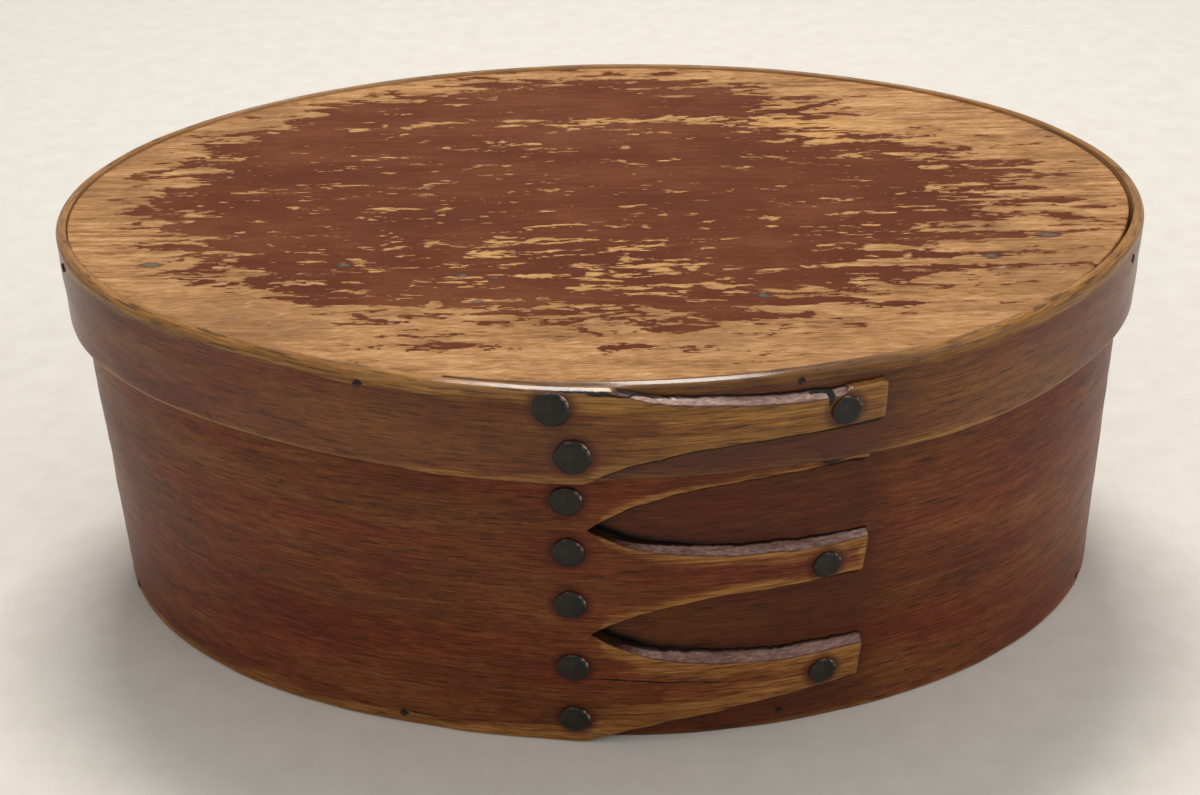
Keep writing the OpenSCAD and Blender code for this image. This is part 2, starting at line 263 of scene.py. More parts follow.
def strip_marks(strip, k, f, v, p, at, z):
    """Marks per point for the finish: where the wood is rubbed, cut, lapped over, inside or beside a tack, and where
    painted shade goes on the fingers' sides and tips, in the notch points and along the bevels' feet. The lapped-over
    mark is partly dirt and partly painted shade. Each runs from 0, most of them up to 1.
    """
    x = half_l * np.sin(f)
    front = f > -turn / 4
    low, high = strip.sides(k, f, 0 * p)
    own_low, own_high = float(k == 0), float(k == strip.last)
    opened = strip.open(f, root_x)
    near_low = np.exp(-np.maximum(0, z - low) / (1.8 * mm)) * np.maximum(own_low, opened)
    near_high = np.exp(-np.maximum(0, high - z) / (1.8 * mm)) * np.maximum(own_high, opened)
    near_tip = np.exp((x - strip.tip_x) / (1.2 * mm)) * front
    face_low, face_high, _, _ = strip.finger_edges(k, np.where(front, x, -half_l))
    cut_low = np.maximum(ease(face_low / mm), opened * (k > 0))
    cut_high = np.maximum(ease((strip.h - face_high) / mm), opened * (k < strip.last))
    sided = ease(p / 0.12)
    aged = ease((x - root_x - 1 * mm) / (8 * mm))
    # Painted shade: the fingers' sides under their bevels and below their lower edges, and the ends of the tips, are
    # darkened nearly to black.
    upper = sided * cut_high * (v > 0.999) * (1 - ease((x - strip.cut_to) / mm))
    cut = upper * aged
    shaded = np.where(v < 0.001, sided * cut_low, upper)
    shaded = np.where(x > strip.tip_x - 0.01 * mm, sided * front * 0.7 * (p < 0.999), shaded)
    # The inner layer under the lap is darker, partly from dirt and partly as painted shade. Near the notch points and
    # just above each finger's foot it is pushed on to a painted black shadow.
    lap_dirt_and_shadow = (f < -turn * 3 / 4) * ease((strip.tip_x + 7 * mm - x) / (9 * mm))
    shadow_above_foot = 0 * x
    for n in range(strip.last + 1):
        gap = z - strip.finger_edges(n, x)[3] + 0.3 * mm
        shadow_above_foot = np.maximum(shadow_above_foot, np.exp(-np.abs(gap) / mm) * (n < strip.last))
    reach = np.exp(-np.maximum(0, x - root_x) / (16 * mm))
    point = np.exp(-np.maximum(0, x - root_x) / (3 * mm))
    lap_dirt_and_shadow = lap_dirt_and_shadow * (1 + np.maximum(strip.deep_notch * shadow_above_foot * reach, point * (strip.last > 0)))
    # Painted shadow that fades out from the notch along the feet of the bevels.
    crevice_shadow = 0.5 * np.exp(-np.maximum(0, x - strip.open_x) / (7 * mm)) * front
    halo = 0 * x
    for seat, head_d in strip.tacks:
        off = np.linalg.norm(at - seat, axis=-1) - head_d / 2
        halo = np.maximum(halo, ease(1 - off / (2.4 * mm)))
    edge = np.maximum(np.maximum(near_low, near_high), near_tip)
    return {"edge": edge, "rubbed": strip.rubbed(k, x, z, front), "cut": cut * strip.dust[k], "shaded": shaded,
            "under": lap_dirt_and_shadow, "inside": p + 0 * x, "halo": halo, "crevice_shadow": crevice_shadow}


def base_face(f):
    """The base's single layer lies on the oval itself."""
    return 0 * f


def cut_width(x, from_x, seed, share, ragged):
    """Width of an upper bevel: narrow and steep at the notch, full from the middle of the finger on, and torn
    back here and there along its foot."""
    torn = ripple(x, 0 * x, 1.1 * mm, mm, seed) + ripple(x, 0 * x, 4 * mm, mm, seed + 9)
    width = share * bevel * (0.3 + 0.62 * ease((x - from_x) / (17 * mm)))
    return width - ragged * np.abs(torn) * ease((x - from_x) / (6 * mm))


bevel_shares = [0, 1.5, 1.05, 1.05]
bevel_rags = [0, 0.16 * mm, 0.09 * mm, 0.09 * mm]


def base_edges(k, x):
    """Face and foot edges of finger k of the base, cut by hand, so a little uneven."""
    def notch(n):
        at = edge_x if n in (0, fingers) else root_x
        run = edge_run if n in (0, fingers) else notch_run
        low = -mm if n == 0 else edge_z(x, at, notch_z(n), tip_z(n - 1) + tip_w / 2, base_tip_x, run)
        high = base_h + mm if n == fingers else edge_z(x, at, notch_z(n), tip_z(n) - tip_w / 2, base_tip_x, run)
        ragged = ease((x - at) / (5 * mm))
        low = low + 0.1 * mm * ripple(x, 0 * x, 9 * mm, mm, 20 + n) * ragged
        high = high + 0.1 * mm * ripple(x, 0 * x, 9 * mm, mm, 30 + n) * ragged
        middle = (low + high) / 2
        seat = 0.02 * mm * (x > at)
        width = cut_width(x, at, 40 + n, bevel_shares[n], bevel_rags[n])
        low_foot = np.minimum(low + width, middle - seat)
        return low, high, low_foot, np.maximum(high - bevel, middle + seat)
    _, low, _, low_foot = notch(k)
    high, _, high_foot, _ = notch(k + 1)
    return low, high, low_foot, high_foot


base_strip = Strip(base_h, base_t, base_tip_x, base_face, edge_r, edge_r, root_x, 0, 0.6 * mm, 3)
base_strip.last = fingers - 1
base_strip.finger_edges = base_edges
base_strip.dust = [0.95, 1.0, 1.0]
base_strip.cut_to = base_tip_x + mm
# Strength of the painted shadow along the fingers' feet in the notches.
base_strip.deep_notch = 2.2
base_strip.worn_flat = lambda x: 0 * x


def base_rubbed_and_shaded(k, x, z, front):
    """Wide fields where the stain is thin: the lowest finger, the others less, and the foot of the front. Towards the
    top, under the lid, the stain is held darker as painted shade.
    """
    fingers_worn = ease((x + 24 * mm) / (34 * mm)) * front
    foot_worn = 0.5 * ease((11 * mm - z) / (11 * mm)) * front
    # The last term is painted shade under the lid's edge.
    return fingers_worn * (0.74 if k == 0 else 0.44) + foot_worn - 0.15 * ease((z - 28 * mm) / (22 * mm))


base_strip.rubbed = base_rubbed_and_shaded

# The tacks' places on the base, from which the stained rings in the wood are worked out as well.
head_d = 5 * mm
tip_head_d = 4.6 * mm
shank_d = 1.3 * mm
tip_tack_in = 6.4 * mm
tip_tack_low = 0.4 * mm
bottom_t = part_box("bottom_board")[1][2]
root_stray = [-0.5 * mm, -0.9 * mm, 0.9 * mm, 0.9 * mm, -0.2 * mm, 0.2 * mm]


def on_wall(face, f, z):
    """The place where something is fixed to the face of a band, and the direction out of it."""
    near = np.radians(0.6)
    a, b = (oval(g, face(g)) for g in (np.array(f - near), np.array(f + near)))
    along = (b - a) / np.linalg.norm(b - a)
    return np.array([*(a + b) / 2, z]), np.array([along[1], -along[0], 0.0])


def base_root_z(k):
    """Height of root tack k: two to a finger, a quarter of the way in from its edges."""
    foot = notch_z(k // 2)
    z = foot + (notch_z(k // 2 + 1) - foot) * (0.75 if k % 2 else 0.25) + root_stray[k]
    return max(z, bottom_t + shank_d / 2 + 0.15 * mm)


root_tacks = [(f_at(column_x), base_root_z(k), head_d) for k in range(2 * fingers)]
tip_tacks = [(f_at(base_tip_x - tip_tack_in), tip_z(k) - tip_tack_low, tip_head_d) for k in range(fingers)]
base_strip.tacks = [(on_wall(base_strip.outer, f, z)[0], d) for f, z, d in root_tacks + tip_tacks]


def shade(r, g, b):
    """A colour in steps of 0 to 255, as the linear values that a shader takes."""
    c = np.array([r, g, b]) / 255
    return (*np.where(c <= 0.04045, c / 12.92, ((c + 0.055) / 1.055) ** 2.4).tolist(), 1)


class Finish:
    """A node material that is put together call by call: inputs are numbers, colours or other nodes' outputs."""

    def __init__(self, name):
        self.material = bpy.data.materials.new(name)
        self.material.use_nodes = True
        self.tree = self.material.node_tree
        self.shader = self.tree.nodes["Principled BSDF"]

    def join(self, node, inputs):
        for socket, value in inputs.items():
            if isinstance(value, bpy.types.NodeSocket):
                self.tree.links.new(value, node.inputs[socket])
            else:
                node.inputs[socket].default_value = value
        return node

    def put(self, kind, inputs, **settings):
        node = self.tree.nodes.new("ShaderNode" + kind)
        for setting, value in settings.items():
            setattr(node, setting, value)
        return self.join(node, inputs)

    def mark(self, name):
        return self.put("Attribute", {}, attribute_name=name).outputs["Fac"]

    def grain(self):
        return self.put("Attribute", {}, attribute_name="grain").outputs["Vector"]

    def noise(self, vector, stretch, detail=3, rough=0.55, shift=0.0, bend=0.0):
        """Noise whose cells number `stretch` to the metre along each direction of the vector."""
        move = {"Vector": vector, "Scale": stretch, "Location": (shift, shift * 1.7, shift * 0.6)}
        placed = self.put("Mapping", move).outputs["Vector"]
        cells = {"Vector": placed, "Scale": 1.0, "Detail": detail, "Roughness": rough, "Distortion": bend}
        return self.put("TexNoise", cells).outputs["Fac"]

    def math(self, how, a, b=0.0, c=0.0):
        return self.put("Math", {0: a, 1: b, 2: c}, operation=how).outputs[0]

    def step(self, value, low, high, to_low=0.0, to_high=1.0):
        """Smooth step of a value between two limits."""
        limits = {"Value": value, "From Min": low, "From Max": high, "To Min": to_low, "To Max": to_high}
        return self.put("MapRange", limits, interpolation_type="SMOOTHSTEP").outputs["Result"]

    def ramp(self, value, *stops):
        node = self.put("ValToRGB", {"Fac": value})
        stop = node.color_ramp.elements
        while len(stop) < len(stops):
            stop.new(0.5)
        for element, (place, colour) in zip(stop, stops):
            element.position = place
            element.color = colour
        return node.outputs["Color"]

    def mix(self, share, a, b, how="MIX"):
        return self.put("Mix", {0: share, 6: a, 7: b}, data_type="RGBA", blend_type=how).outputs[2]

    def line(self, grain, points, half):
        """1 on a crack that runs through the given points of a strip, half as wide as its middle's half width
        at the ends: the nearest of its segments decides."""
        wobble = self.noise(grain, (500, 1500, 0), 2, 0.6, 21.0)
        bend = self.put("CombineXYZ", {1: self.math("MULTIPLY_ADD", wobble, 0.7 * mm, -0.35 * mm)}).outputs[0]
        flat = self.put("VectorMath", {0: grain, 1: (1, 1, 0)}, operation="MULTIPLY").outputs[0]
        bent = self.put("VectorMath", {0: flat, 1: bend}, operation="ADD").outputs[0]
        found = 0.0
        for n, (start, end) in enumerate(zip(points[:-1], points[1:])):
            a, way = (*start, 0.0), (end[0] - start[0], end[1] - start[1], 0.0)
            off = self.put("VectorMath", {0: bent, 1: a}, operation="SUBTRACT").outputs[0]
            run = self.put("VectorMath", {0: off, 1: way}, operation="DOT_PRODUCT").outputs["Value"]
            run = self.put("Math", {0: run, 1: 1 / (way[0] ** 2 + way[1] ** 2)}, operation="MULTIPLY",
                           use_clamp=True).outputs[0]
            near = self.put("VectorMath", {0: way, "Scale": run}, operation="SCALE").outputs[0]
            gap = self.put("VectorMath", {0: off, 1: near}, operation="DISTANCE").outputs["Value"]
            first = 1.0 if n else 0.2
            last = 0.2 if n == len(points) - 2 else 1.0
            width = self.math("MULTIPLY_ADD", run, (last - first) * half, first * half)
            inside = self.step(self.math("SUBTRACT", width, gap), -0.05 * mm, 0.06 * mm)
            found = self.math("MAXIMUM", inside, found)
        return found

    def bump(self, height, distance, under=None):
        sockets = {"Height": height, "Distance": distance, "Strength": 1.0}
        if under is not None:
            sockets["Normal"] = under
        return self.put("Bump", sockets).outputs["Normal"]


def stained_maple(name, stains, golds, rubbed, gilded, gloss, cracks):
    """Old stain over maple: soft clouds and fine fibres in four tones with short dark pores, rubbed to gold
    near the edges, with a pale edge line that is partly wear and partly painted highlight. The upper bevels are pale,
    partly from powdery cut wood and partly as a painted reflection. Painted shade darkens the fingers' sides, the
    lap's inner layer, the notch points and the bevels' feet. The inside is bare wood."""
    look = Finish(name)
    grain = look.grain()
    clouds = look.noise(grain, (22, 70, 30), 4, 0.6)
    hues = look.noise(grain, (26, 120, 60), 3, 0.55, 11.0)
    streaks = look.noise(grain, (60, 700, 250), 4, 0.6, 3.1, 0.2)
    fibres = look.noise(grain, (170, 3700, 900), 4, 0.75, 7.7)
    pores = look.noise(grain, (200, 4200, 900), 2, 0.5, 1.3)
    tone = look.math("MULTIPLY_ADD", clouds, 0.5, look.math("MULTIPLY", streaks, 0.3))
    tone = look.math("MULTIPLY_ADD", fibres, 0.6, tone)
    mottle = look.noise(grain, (420, 1100, 500), 4, 0.75, 16.0)
    tone = look.math("MULTIPLY_ADD", mottle, 0.4, tone)
    tone = look.step(tone, 0.56, 1.24)
    stain = look.mix(look.step(hues, 0.34, 0.68), look.ramp(tone, (0.0, stains[0]), (0.5, stains[1]), (1.0, stains[2])),
                     look.ramp(tone, (0.0, stains[3]), (0.5, stains[4]), (1.0, stains[5])))
    rub = look.math("MULTIPLY_ADD", look.mark("edge"), rubbed, look.mark("rubbed"))
    rub = look.math("MULTIPLY_ADD", streaks, 0.7, rub)
    rub = look.math("MULTIPLY_ADD", clouds, 0.7, rub)
    rub = look.math("MULTIPLY_ADD", fibres, 0.6, rub)
    worn = look.ramp(look.math("MULTIPLY_ADD", streaks, 0.4, look.math("MULTIPLY", fibres, 0.6)),
                     (0.38, golds[0]), (0.5, golds[1]), (0.62, golds[2]))
    colour = look.mix(look.step(rub, gilded, gilded + 0.55, 0.0, 0.92), stain, worn)
    # A pale line along the edges: partly worn wood, partly a painted highlight.
    worn_edge_and_highlight = look.math("MULTIPLY_ADD", fibres, 0.5, look.mark("edge"))
    colour = look.mix(look.step(worn_edge_and_highlight, 1.05, 1.3, 0.0, 0.25), colour, shade(168, 120, 74))
    # Darker where the lap lies over the inner layer: partly dirt, partly painted shade.
    colour = look.mix(look.math("MULTIPLY", look.mark("under"), 0.55), colour, shade(66, 30, 14))
    colour = look.mix(look.step(pores, 0.56, 0.66, 0.0, 0.65), colour, shade(38, 20, 13))
    ring = look.step(look.math("MULTIPLY_ADD", streaks, 0.5, look.mark("halo")), 0.55, 1.3, 0.0, 0.7)
    colour = look.mix(ring, colour, shade(70, 24, 15))
    bare = look.ramp(look.math("MULTIPLY_ADD", fibres, 0.5, look.math("MULTIPLY", streaks, 0.5)),
                     (0.36, shade(166, 124, 82)), (0.64, shade(212, 172, 124)))
    colour = look.mix(look.step(look.mark("inside"), 0.97, 0.999), colour, bare)
    # Painted shade, nearly black, on the fingers' sides and tip ends.
    colour = look.mix(look.math("MULTIPLY", look.mark("shaded"), 0.95), colour, shade(26, 11, 7))
    torn = look.noise(grain, (800, 3400, 2400), 4, 0.7, 5.2)
    cut = look.mark("cut")
    # The upper bevels are pale: partly powdery cut wood and partly a painted reflection of the lamps, with painted
    # glints in the palest specks.
    powder_and_sheen = look.math("MULTIPLY_ADD", torn, 1.5, look.math("ADD", cut, streaks))
    powder_and_sheen = look.math("MULTIPLY_ADD", powder_and_sheen, 0.9, -1.4)
    dusty = look.ramp(powder_and_sheen, (0.0, shade(70, 40, 31)), (0.35, shade(112, 79, 69)), (0.62, shade(142, 111, 101)),
                      (1.0, shade(196, 166, 150)))
    # The foot of each upper bevel gets a painted dark shadow line, more of it near the notch.
    foot = look.math("ADD", look.math("MULTIPLY_ADD", torn, 0.3, look.mark("inside")), look.mark("crevice_shadow"))
    dusty = look.mix(look.step(foot, 0.88, 1.04), dusty, shade(34, 16, 12))
    colour = look.mix(look.step(cut, 0.2, 0.5), colour, dusty)
    # Painted black shadow in the notch points and along the fingers' feet.
    colour = look.mix(look.step(look.mark("under"), 1.1, 1.8), colour, shade(14, 6, 4))
    split = 0.0
    for points, half in cracks:
        split = look.math("MAXIMUM", look.line(grain, points, half), split)
    colour = look.mix(split, colour, shade(16, 8, 6))
    dull = look.math("MULTIPLY_ADD", look.mark("shaded"), 0.5, look.math("MULTIPLY_ADD", cut, 0.25, 0.3))
    dull = look.math("MULTIPLY_ADD", fibres, 0.3, dull)
    rise = look.math("MULTIPLY_ADD", streaks, 0.4, look.math("MULTIPLY", fibres, 0.6))
    rise = look.math("SUBTRACT", rise, look.step(pores, 0.6, 0.72, 0.0, 0.5))
    rise = look.math("MULTIPLY_ADD", split, -4.0, rise)
    rise = look.math("MULTIPLY_ADD", look.step(look.mark("halo"), 0.3, 1.0), 5.0, rise)
    normal = look.bump(look.math("MULTIPLY", torn, cut), 0.12 * mm, look.bump(rise, 0.05 * mm))
    look.join(look.shader, {"Base Color": colour, "Roughness": dull, "Normal": normal,
                            "Specular IOR Level": 0.1, "Coat Weight": gloss, "Coat Roughness": 0.14})
    return look.material


base_cracks = [([(-1.0 * mm, 13.3 * mm), (7.5 * mm, 12.8 * mm), (20 * mm, 11.7 * mm)], 0.16 * mm),
               ([(-32.6 * mm, 3.3 * mm), (-29 * mm, 2.5 * mm), (-21.6 * mm, 2.7 * mm)], 0.13 * mm)]
base_maple = stained_maple(
    "base_maple",
    (shade(68, 27, 13), shade(108, 48, 23), shade(142, 76, 40), shade(66, 32, 13), shade(110, 61, 28), shade(142, 90, 46)),
    (shade(112, 66, 29), shade(148, 97, 46), shade(186, 134, 74)), 1.1, 1.74, 0.12, base_cracks)
base_band = wind("base_band_wood", base_strip)
base_band.data.materials.append(base_maple)
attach(base_band, "base")
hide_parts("base_band")

# Bottom board. A thin board of pine, sawn to the oval inside the band and held by sprigs through the wood.
# Its underside is what the box stands on.
board_gap = 0.3 * mm


def board_piece(name, outline, low, high, edge, dish=0.0):
    """A flat oval board: a profile of share, inset and height carried once round the outline, from the middle
    of the underside by the rounded edges to the middle of the top, which may be dished a little."""
    shares = np.linspace(0, 1, 26)[1:-1]
    arc = np.linspace(0, np.pi / 2, 4)
    flat = [(0.0, 0.0), *[(s, 0.0) for s in shares]]
    profile = [(s, i, low) for s, i in flat]
    profile += [(1.0, edge * (1 - np.sin(a)), low + edge * (1 - np.cos(a))) for a in arc]
    profile += [(1.0, edge * (1 - np.cos(a)), high - edge * (1 - np.sin(a))) for a in arc]
    profile += [(s, i, high - dish * (1 - s * s)) for s, i in flat[::-1]]
    share, inset, z = (np.array(part)[:, None] for part in zip(*profile))
    f = np.linspace(0, turn, 240, endpoint=False)[None, :]
    at = share[..., None] * oval(f + 0 * z, outline(f) - inset)
    points = np.concatenate([at, np.broadcast_to(z, at.shape[:2])[..., None]], -1)
    return make_piece(name, points.reshape(-1, 3), grid_faces(len(z), f.size, True).tolist(), {})


def raw_pine(name):
    """Planed pine gone brown with age: growth rings as lines along the board, and a few darker stains."""
    look = Finish(name)
    place = look.put("TexCoord", {}).outputs["Object"]
    rings = look.noise(place, (7, 420, 420), 3, 0.6, 2.0, 0.25)
    fibres = look.noise(place, (60, 2300, 2300), 2, 0.5, 4.0)
    stains = look.noise(place, (22, 30, 30), 3, 0.6, 8.0)
    tone = look.math("MULTIPLY_ADD", rings, 0.7, look.math("MULTIPLY", fibres, 0.3))
    wood = look.ramp(tone, (0.34, shade(126, 86, 52)), (0.5, shade(168, 122, 78)), (0.66, shade(190, 146, 98)))
    colour = look.mix(look.step(stains, 0.5, 0.72, 0.0, 0.5), wood, shade(112, 78, 52))
    rise = look.math("MULTIPLY_ADD", rings, 0.7, look.math("MULTIPLY", fibres, 0.4))
    look.join(look.shader, {"Base Color": colour, "Roughness": look.step(rings, 0.3, 0.7, 0.5, 0.68),
                            "Normal": look.bump(rise, 0.1 * mm)})
    return look.material


def bottom_outline(f):
    """The bottom fills the band's inside but for a thin gap."""
    return base_face(f) - base_t - board_gap


bottom_board = board_piece("bottom_board_wood", bottom_outline, 0.0, bottom_t, 0.4 * mm)
bottom_board.data.materials.append(raw_pine("bottom_pine"))
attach(bottom_board, "base")
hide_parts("bottom_board")

# Tacks of the base. Small copper tacks with hammered heads: two in the root of each finger and one near
# each tip, driven through both layers on an anvil, so that each point turns over inside the band.
head_h = 0.7 * mm
head_edge = 0.3 * mm
tail = 2.4 * mm
bend_r = shank_d / 2 + 0.1 * mm


def hammered_head(r, seed, sides=40):
    """Stations of the head from its crown down to the shank: heights and radii. The rim is a round with up to
    nine sides knocked flat, and the crown is cut by a few shallow planes where the hammer met it."""
    rng = np.random.default_rng(seed)
    around = np.linspace(0, turn, sides, endpoint=False)[None, :]
    rise = np.linspace(0, 1, 11)[:, None]
    dome = np.concatenate([rise, [[1.0], [0.97]]])
    drop = head_edge + (head_h - head_edge) * (1 - rise ** 4)
    height = np.concatenate([drop, [[0.12 * mm], [0.03 * mm]]])
    rim = 1 + 0 * around
    for side in range(9):
        facing = turn * (side + 0.35 * rng.normal()) / 9
        rim = np.minimum(rim, rng.uniform(0.93, 1.0) / np.maximum(0.3, np.cos(around - facing)))
    wave = 1 + (rim - 1) * ease((dome - 0.3) / 0.6)
    x, y = dome * np.cos(around), dome * np.sin(around)
    flat = height + 0 * around
    for _ in range(4):
        facing, tilt = turn * rng.random(), rng.uniform(0.08, 0.2) * mm
        flat = np.minimum(flat, head_h + rng.uniform(-0.02, 0.1) * mm - tilt * (1 + x * np.cos(facing) + y * np.sin(facing)))
    flat = np.where(height > head_edge / 2, flat, height)
    pits = 0.02 * mm * ripple(x * mm, y * mm, 0.35 * mm, 0.35 * mm, seed + 5) * (height > head_edge / 2)
    return np.clip(flat + pits - 0.02 * mm, 0, head_h), np.minimum(r * dome * wave, r), around


def tack_piece(name, strip, f, z, across, deep, turned, seed, straight=False):
    """A tack as rings round a path: down the head, along the shank, then a quarter turn and the flattened
    tail, which runs in the direction `turned` from straight down; a straight one keeps to its axis."""
    seat, out = on_wall(strip.outer, f, z)
    along = np.array([-out[1], out[0], 0.0])
    down = np.array([0.0, 0.0, -1.0])
    tail_way = np.cos(turned) * down + np.sin(turned) * along
    tail_side = np.cross(out, tail_way)
    head_z, head_r, around = hammered_head(across / 2, seed)
    rings = [seat + head_z[..., None] * out
             + head_r[..., None] * (np.cos(around)[..., None] * tail_way + np.sin(around)[..., None] * tail_side)]
    r = shank_d / 2
    if straight:
        stations = [(-step * deep, 0, 0, r if step < 0.7 else r * (1 - (step - 0.7) / 0.34)) for step in np.linspace(0, 1, 9)]
    else:
        stations = [(-step * deep, 0, 0, r) for step in np.linspace(0, 1, 5)]
        stations += [(-deep - bend_r * np.sin(a), bend_r * (1 - np.cos(a)), a, r) for a in np.linspace(0, np.pi / 2, 7)[1:]]
        stations += [(-deep - bend_r, bend_r + tail * step, np.pi / 2, r * (1 - 0.66 * step)) for step in (0.3, 0.6, 0.85, 1)]
    for height, run, lean, radius in stations:
        middle = seat + height * out + run * tail_way
        across_way = np.cos(lean) * tail_way + np.sin(lean) * out
        ring = radius * (np.cos(around)[..., None] * across_way + np.sin(around)[..., None] * tail_side)
        rings.append(middle + ring)
    rings.append(np.broadcast_to(middle, rings[-1].shape))
    points = np.concatenate(rings)
    faces = grid_faces(points.shape[0], points.shape[1], True).tolist()
    local = points - seat
    marks = {"grain": np.stack([local @ along, local @ down, local @ out], -1).reshape(-1, 3)}
    marks["rim"] = ease((np.linalg.norm(marks["grain"][:, :2], axis=1) / (across / 2) - 0.8) / 0.2)
    return make_piece(name, points.reshape(-1, 3), faces, marks)


def old_copper(name):
    """Copper gone brown-black under polish and dirt, rubbed pale in scratches, with a painted highlight on the upper
    side of the head's rim.
    """
    look = Finish(name)
    place = look.grain()
    spots = look.noise(place, (420, 420, 420), 4, 0.65, 1.0)
    scratches = look.noise(place, (500, 3200, 400), 2, 0.5, 2.0, 1.5)
    skin = look.ramp(spots, (0.3, shade(16, 12, 9)), (0.5, shade(27, 22, 16)), (0.7, shade(44, 37, 28)))
    # A painted highlight along the upper side of the head's rim.
    lit_side = look.put("VectorMath", {0: place, 1: (0.6, -0.8, 0)}, operation="DOT_PRODUCT").outputs["Value"]
    upper = look.step(lit_side, 1.2 * mm, 2.2 * mm)
    ring = look.math("MULTIPLY", look.mark("rim"), look.math("MULTIPLY", upper, look.step(spots, 0.4, 0.56)))
    scratches_and_highlight = look.math("MAXIMUM", look.step(scratches, 0.68, 0.76, 0.0, 0.1), ring)
    colour = look.mix(scratches_and_highlight, skin, shade(196, 178, 160))
    look.join(look.shader, {"Base Color": colour, "Metallic": look.step(scratches_and_highlight, 0.1, 0.8, 0.0, 0.8),
                            "Roughness": look.step(spots, 0.3, 0.7, 0.36, 0.55), "Specular IOR Level": 0.3,
                            "Normal": look.bump(look.math("MULTIPLY_ADD", scratches, 0.25, spots), 0.1 * mm)})
    return look.material


copper = old_copper("tack_copper")


def fit_tack(node, strip, place, turned, seed, body, straight=0.0):
    """Makes the tack that stands for a CAD node, and fixes it to its body."""
    f, z, across = place
    deep = float(strip.outer(f) - strip.inner(f - turn)) + straight
    piece = tack_piece(node + "_copper", strip, f, z, across, deep, turned, seed, straight > 0)
    piece.data.materials.append(copper)
    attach(piece, body)
    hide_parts(node)


for k, place in enumerate(root_tacks):
    fit_tack(f"base_root_tack_{k + 1}", base_strip, place, 0.0 if k % 2 else np.pi, 60 + k, "base")
for k, place in enumerate(tip_tacks):
    fit_tack(f"base_tip_tack_{k + 1}", base_strip, place, np.pi / 2, 70 + k, "base")

# Sprigs. Little square points cut from iron sheet, pushed through the bands into the edges of the boards and
# filed off flush, where only their dark ends show.
sprig_w = 1.5 * mm
sprig_len = 9 * mm
sprig_f = np.radians([-71, -21, 19, 71, 110, 160, -160, -110])


def sprig_piece(name, strip, f, z, seed):
    """A square wedge turned on its corner: four-sided rings along its axis, drawn in to the point, with the
    filed end a little dished and every ring slightly out of true."""
    rng = np.random.default_rng(seed)
    seat, out = on_wall(strip.face, f, z)
    along = np.array([-out[1], out[0], 0.0])
    up = np.array([0.0, 0.0, 1.0])
    height = np.array([0.06, 0.1, 0.08, 0.0, -1, -3, -5, -7, -9]) * mm
    half = np.array([0.0, 0.55, 0.75, 0.78, 0.75, 0.75, 0.53, 0.32, 0.1]) * sprig_w / 1.5
    corner = np.arange(4) * turn / 4 + 0.12 * rng.normal()
    wide = (1 + 0.16 * rng.normal(size=4))[None, :]
    r = half[:, None] * wide.clip(0.8, 1.12)
    ring = r[..., None] * (np.cos(corner)[:, None] * along + np.sin(corner)[:, None] * up)
    points = seat + height[:, None, None] * out + ring
    points = np.concatenate([points, np.broadcast_to(seat + height[-1] * out, points[-1:].shape)])
    faces = grid_faces(points.shape[0], 4, True).tolist()
    local = (points - seat).reshape(-1, 3)
    piece = make_piece(name, points.reshape(-1, 3), faces, {"grain": np.stack([local @ along, local @ up, local @ out], -1)})
    piece.data.shade_flat()
    return piece


def dark_iron(name):
    """Iron blackened and lightly rusted by the wood."""
    look = Finish(name)
    spots = look.noise(look.grain(), (900, 900, 900), 3, 0.6)
    colour = look.ramp(spots, (0.35, shade(24, 19, 16)), (0.55, shade(46, 33, 25)), (0.72, shade(84, 50, 30)))
    look.join(look.shader, {"Base Color": colour, "Metallic": look.step(spots, 0.4, 0.6, 0.6, 0.2),
                            "Roughness": look.step(spots, 0.3, 0.7, 0.5, 0.8),
                            "Normal": look.bump(spots, 0.15 * mm)})
    return look.material


iron = dark_iron("sprig_iron")


def fit_sprigs(body, strip, middle_z, strays):
    """Sets the eight sprigs of a band round its board."""
    for k, (f, stray) in enumerate(zip(sprig_f, strays)):
        node = f"{body}_sprig_{k + 1}"
        piece = sprig_piece(node + "_iron", strip, f, middle_z + stray * mm, 90 + k)
        piece.data.materials.append(iron)
        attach(piece, body)
        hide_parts(node)


fit_sprigs("base", base_strip, bottom_t / 2, [-0.4, 0.1, 0.6, -0.4, 0.2, 0, -0.3, 0.3])

# Lid band. A narrow strip of the same maple, wound like the base's but larger by a slip fit, and with one
# finger that tapers from its whole height. It swells at the front to clear the base's lap. Its upper edge,
# rounded over by the maker, has been rubbed to bare golden wood.
lid_low, lid_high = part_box("lid_band")
lid_z = lid_low[2]
lid_h = lid_high[2] - lid_z
lid_t = 1.7 * mm
slip = 0.5 * mm
swell = 3.4 * mm
swell_run = 60 * mm
swell_back = 40 * mm
rim_r = 1.3 * mm
lid_tip_x = 40.2 * mm
lid_edge_x = 2.4 * mm
lid_tip_z = 9.2 * mm
lid_tip_w = 4.8 * mm
lid_tack_in = 5.7 * mm
lid_tack_high = 0.2 * mm
lid_head_d = 5.5 * mm


def lid_face(f):
    """The lid's single layer stands off the base by the slip fit, and swells over the base's lap."""
    x = half_l * np.sin(f)
    top_end = lid_tip_x + 6 * mm
    back_end = min(top_end + swell_back, half_l - mm)
    bulge = swell * ease((x - column_x + swell_run) / swell_run) * (1 - ease((x - top_end) / (back_end - top_end)))
    return slip + lid_t + np.where(np.cos(f) > 0, bulge, 0)


